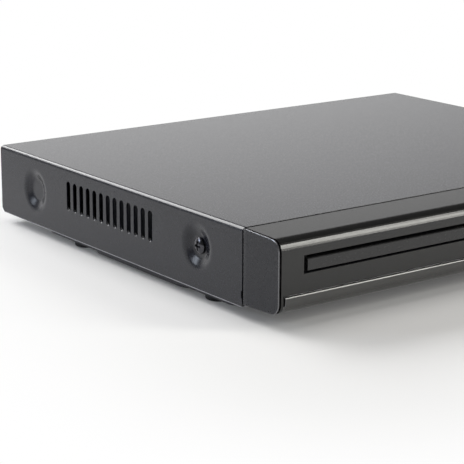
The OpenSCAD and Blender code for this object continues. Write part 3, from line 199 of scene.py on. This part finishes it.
# The cover's bottom edge gets a painted highlight line in light grey.
cover = NODES["top_cover"]
low_edge = min((cover.matrix_world @ v.co).z for v in cover.data.vertices)
paint_highlight_below(MATERIALS["cover_paint"], low_edge + EDGE_HIGHLIGHT_HEIGHT, rgb(EDGE_HIGHLIGHT_COLOUR))
SLOT_OF = {row["node"]: row["material_slot"] for row in frame["record"]["subparts"]}
for name, obj in NODES.items():
    obj.data.materials.clear()
    obj.data.materials.append(MATERIALS[SLOT_OF[name]])


# ---- Rounded edges ----

WELD_DISTANCE = 1e-6
FLAT_DEGREES = 0.2
SHARP_DEGREES = 40
EDGE_SEGMENTS = 2


def soften(name, width_mm, above=35, rim=None):
    """Rounds a node's edges that turn by more than above degrees, as a press or a mould does.

    rim is the finish of the rounded edges, if they shine more than the faces; a lighter metal
    there paints a highlight line along them."""
    weld = NODES[name].modifiers.new("weld", "WELD")
    weld.merge_threshold = WELD_DISTANCE
    flat = NODES[name].modifiers.new("flat", "DECIMATE")
    flat.decimate_type = "DISSOLVE"
    flat.angle_limit = math.radians(FLAT_DEGREES)
    edge = NODES[name].modifiers.new("edge", "BEVEL")
    edge.limit_method = "ANGLE"
    edge.angle_limit = math.radians(above)
    edge.width = width_mm * MM
    edge.segments = EDGE_SEGMENTS
    edge.use_clamp_overlap = False
    edge.loop_slide = False
    if rim:
        NODES[name].data.materials.append(MATERIALS[rim])
        edge.material = 1
    split = NODES[name].modifiers.new("split", "EDGE_SPLIT")
    split.split_angle = math.radians(SHARP_DEGREES)
    split.use_edge_sharp = False
    even = NODES[name].modifiers.new("even", "WEIGHTED_NORMAL")
    even.keep_sharp = True


soften("top_cover", 0.12, above=62)
# The rounded edges of the front panel and lower trim get painted highlight lines.
soften("front_panel", 0.27, rim="painted_highlight_edge")
soften("lower_trim", 0.25, rim="painted_highlight_edge")
soften("cover_screws", 0.15)


# ---- Floor, light and camera ----

FLOOR_HALF = 4.0
FLOOR_COLOUR = "#f0f0f0"
FLOOR_ROUGH = 0.6
FLOOR_SPECULAR = 0.2
# The floor keeps its shadow near this box and goes over to plain white away from it. Its white
# glow, seen by the camera and in reflections, is mixed in at SHADOW_LEAST_WHITE even beside the
# box, which lightens the shadow there.
SHADOW_MIDDLE = (0.02, -0.02, 0)
SHADOW_HALF = (0.135, 0.119, 0)
SHADOW_FADE = (0.03, 0.155)
SHADOW_LEAST_WHITE = 0.07

BACKDROP_TURN = math.radians(14)
BACKDROP_LIGHT = 1.47
BACKDROP_SPREAD = (0.6, 0.99)  # cosines of the angle to the backdrop's middle
BACKDROP_TOP = (0.12, 0.44)  # sines of the height over the horizon
ROOM_LIGHT = 0.13

# Name, place, target, size, power and colour.
LAMPS = (
    ("softbox", (-0.375, 1.164, 0.923), (0, 0, 0.03), (1.25, 0.6), 19.4, (1, 1, 1)),
    ("overhead", (-0.1, 0.1, 1.6), (0, 0, 0.03), (1.2, 1.2), 8.5, (1, 0.975, 0.94)),
    ("side_lamp", (-1.10, 0.70, 0.445), (-0.135, -0.062, 0.025), (0.42, 0.36), 3.2,
     (0.8, 0.88, 1)),
    ("strip", (2.5, -2.75, 1.62), (-0.05, -0.11, 0.03), (0.95, 2.7), 84, (1, 0.985, 0.93)),
)

# The camera comes from a perspective fit to the photo's straight edges.
CAMERA_PLACE = (-0.5271, -0.6177, 0.2091)
YAW, PITCH, ROLL = (math.radians(a) for a in (36.466, 14.694, 0.180))
SENSOR_MM = 36.0
LENS_MM = 127.48
CLIP_RANGE = (0.05, 50)


def map_smoothly(nodes, links, value, span):
    """A node that goes smoothly from 0 to 1 as value goes over span."""
    ramp = nodes.new("ShaderNodeMapRange")
    ramp.interpolation_type = "SMOOTHSTEP"
    ramp.inputs["From Min"].default_value, ramp.inputs["From Max"].default_value = span
    links.new(value, ramp.inputs["Value"])
    return ramp


def combine(nodes, links, operation, first, second):
    """A Math node's result for two sockets or numbers."""
    node = nodes.new("ShaderNodeMath")
    node.operation = operation
    for i, value in enumerate((first, second)):
        if isinstance(value, float):
            node.inputs[i].default_value = value
        else:
            links.new(value, node.inputs[i])
    return node.outputs["Value"]


def floor_material():
    mat = bpy.data.materials.new("floor")
    mat.use_nodes = True
    nodes, links = mat.node_tree.nodes, mat.node_tree.links
    shader = nodes["Principled BSDF"]
    shader.inputs["Base Color"].default_value = rgb(FLOOR_COLOUR)
    shader.inputs["Roughness"].default_value = FLOOR_ROUGH
    shader.inputs["Specular IOR Level"].default_value = FLOOR_SPECULAR
    glow = nodes.new("ShaderNodeEmission")
    glow.inputs["Strength"].default_value = 1.0
    place = nodes.new("ShaderNodeTexCoord")
    last = place.outputs["Object"]
    steps = (("SUBTRACT", SHADOW_MIDDLE), ("ABSOLUTE", None), ("SUBTRACT", SHADOW_HALF),
             ("MAXIMUM", (0, 0, 0)), ("LENGTH", None))
    for operation, value in steps:
        step = nodes.new("ShaderNodeVectorMath")
        step.operation = operation
        links.new(last, step.inputs[0])
        if value:
            step.inputs[1].default_value = value
        last = step.outputs["Value" if operation == "LENGTH" else "Vector"]
    far = map_smoothly(nodes, links, last, SHADOW_FADE)
    far.inputs["To Min"].default_value = SHADOW_LEAST_WHITE
    path = nodes.new("ShaderNodeLightPath")
    seen = combine(nodes, links, "MAXIMUM", path.outputs["Is Camera Ray"],
                   path.outputs["Is Glossy Ray"])
    amount = combine(nodes, links, "MULTIPLY", far.outputs["Result"], seen)
    mix = nodes.new("ShaderNodeMixShader")
    links.new(amount, mix.inputs["Fac"])
    links.new(shader.outputs["BSDF"], mix.inputs[1])
    links.new(glow.outputs["Emission"], mix.inputs[2])
    links.new(mix.outputs["Shader"], nodes["Material Output"].inputs["Surface"])
    return mat


def stage_floor():
    mesh = bpy.data.meshes.new("floor")
    form = bmesh.new()
    corners = [form.verts.new((x * FLOOR_HALF, y * FLOOR_HALF, 0))
               for x, y in ((-1, -1), (1, -1), (1, 1), (-1, 1))]
    form.faces.new(corners)
    form.to_mesh(mesh)
    form.free()
    floor = bpy.data.objects.new("floor", mesh)
    bpy.context.scene.collection.objects.link(floor)
    mesh.materials.append(floor_material())


def world_light():
    """A white view behind the player, a bright backdrop low down and a little light all round."""
    world = bpy.data.worlds.new("studio")
    bpy.context.scene.world = world
    world.use_nodes = True
    nodes, links = world.node_tree.nodes, world.node_tree.links
    back = nodes["Background"]
    place = nodes.new("ShaderNodeTexCoord")
    split = nodes.new("ShaderNodeSeparateXYZ")
    links.new(place.outputs["Generated"], split.inputs["Vector"])
    towards = nodes.new("ShaderNodeVectorMath")
    towards.operation = "DOT_PRODUCT"
    towards.inputs[1].default_value = (math.sin(BACKDROP_TURN), math.cos(BACKDROP_TURN), 0)
    links.new(place.outputs["Generated"], towards.inputs[0])

    wide = map_smoothly(nodes, links, towards.outputs["Value"], BACKDROP_SPREAD)
    high = map_smoothly(nodes, links, split.outputs["Z"], BACKDROP_TOP)
    low = combine(nodes, links, "SUBTRACT", 1.0, high.outputs["Result"])
    shape = combine(nodes, links, "MULTIPLY", wide.outputs["Result"], low)
    glow = combine(nodes, links, "MULTIPLY", shape, BACKDROP_LIGHT)
    strength = combine(nodes, links, "ADD", glow, ROOM_LIGHT)
    path = nodes.new("ShaderNodeLightPath")
    seen = combine(nodes, links, "MAXIMUM", path.outputs["Is Camera Ray"], strength)
    links.new(seen, back.inputs["Strength"])
    back.inputs["Color"].default_value = WHITE


def area_light(name, place, target, size, power, colour):
    data = bpy.data.lights.new(name, "AREA")
    data.shape = "RECTANGLE"
    data.size, data.size_y = size
    data.energy = power
    data.color = colour
    lamp = bpy.data.objects.new(name, data)
    lamp.location = place
    lamp.rotation_euler = (Vector(target) - Vector(place)).to_track_quat("-Z", "Y").to_euler()
    bpy.context.scene.collection.objects.link(lamp)


def photo_camera():
    ahead = Vector((math.sin(YAW) * math.cos(PITCH), math.cos(YAW) * math.cos(PITCH),
                    -math.sin(PITCH)))
    level = Vector((math.cos(YAW), -math.sin(YAW), 0))
    above = level.cross(ahead)
    right = math.cos(ROLL) * level + math.sin(ROLL) * above
    up = math.cos(ROLL) * above - math.sin(ROLL) * level
    data = bpy.data.cameras.new("camera")
    data.sensor_fit = "HORIZONTAL"
    data.sensor_width = SENSOR_MM
    data.lens = LENS_MM
    data.clip_start, data.clip_end = CLIP_RANGE
    camera = bpy.data.objects.new("camera", data)
    turn = Matrix((right, up, -ahead)).transposed().to_4x4()
    camera.matrix_world = Matrix.Translation(CAMERA_PLACE) @ turn
    bpy.context.scene.collection.objects.link(camera)
    bpy.context.scene.camera = camera


stage_floor()
world_light()
for lamp_row in LAMPS:
    area_light(*lamp_row)
photo_camera()
bpy.context.scene.view_settings.view_transform = "Standard"

bpy.context.view_layer.update()
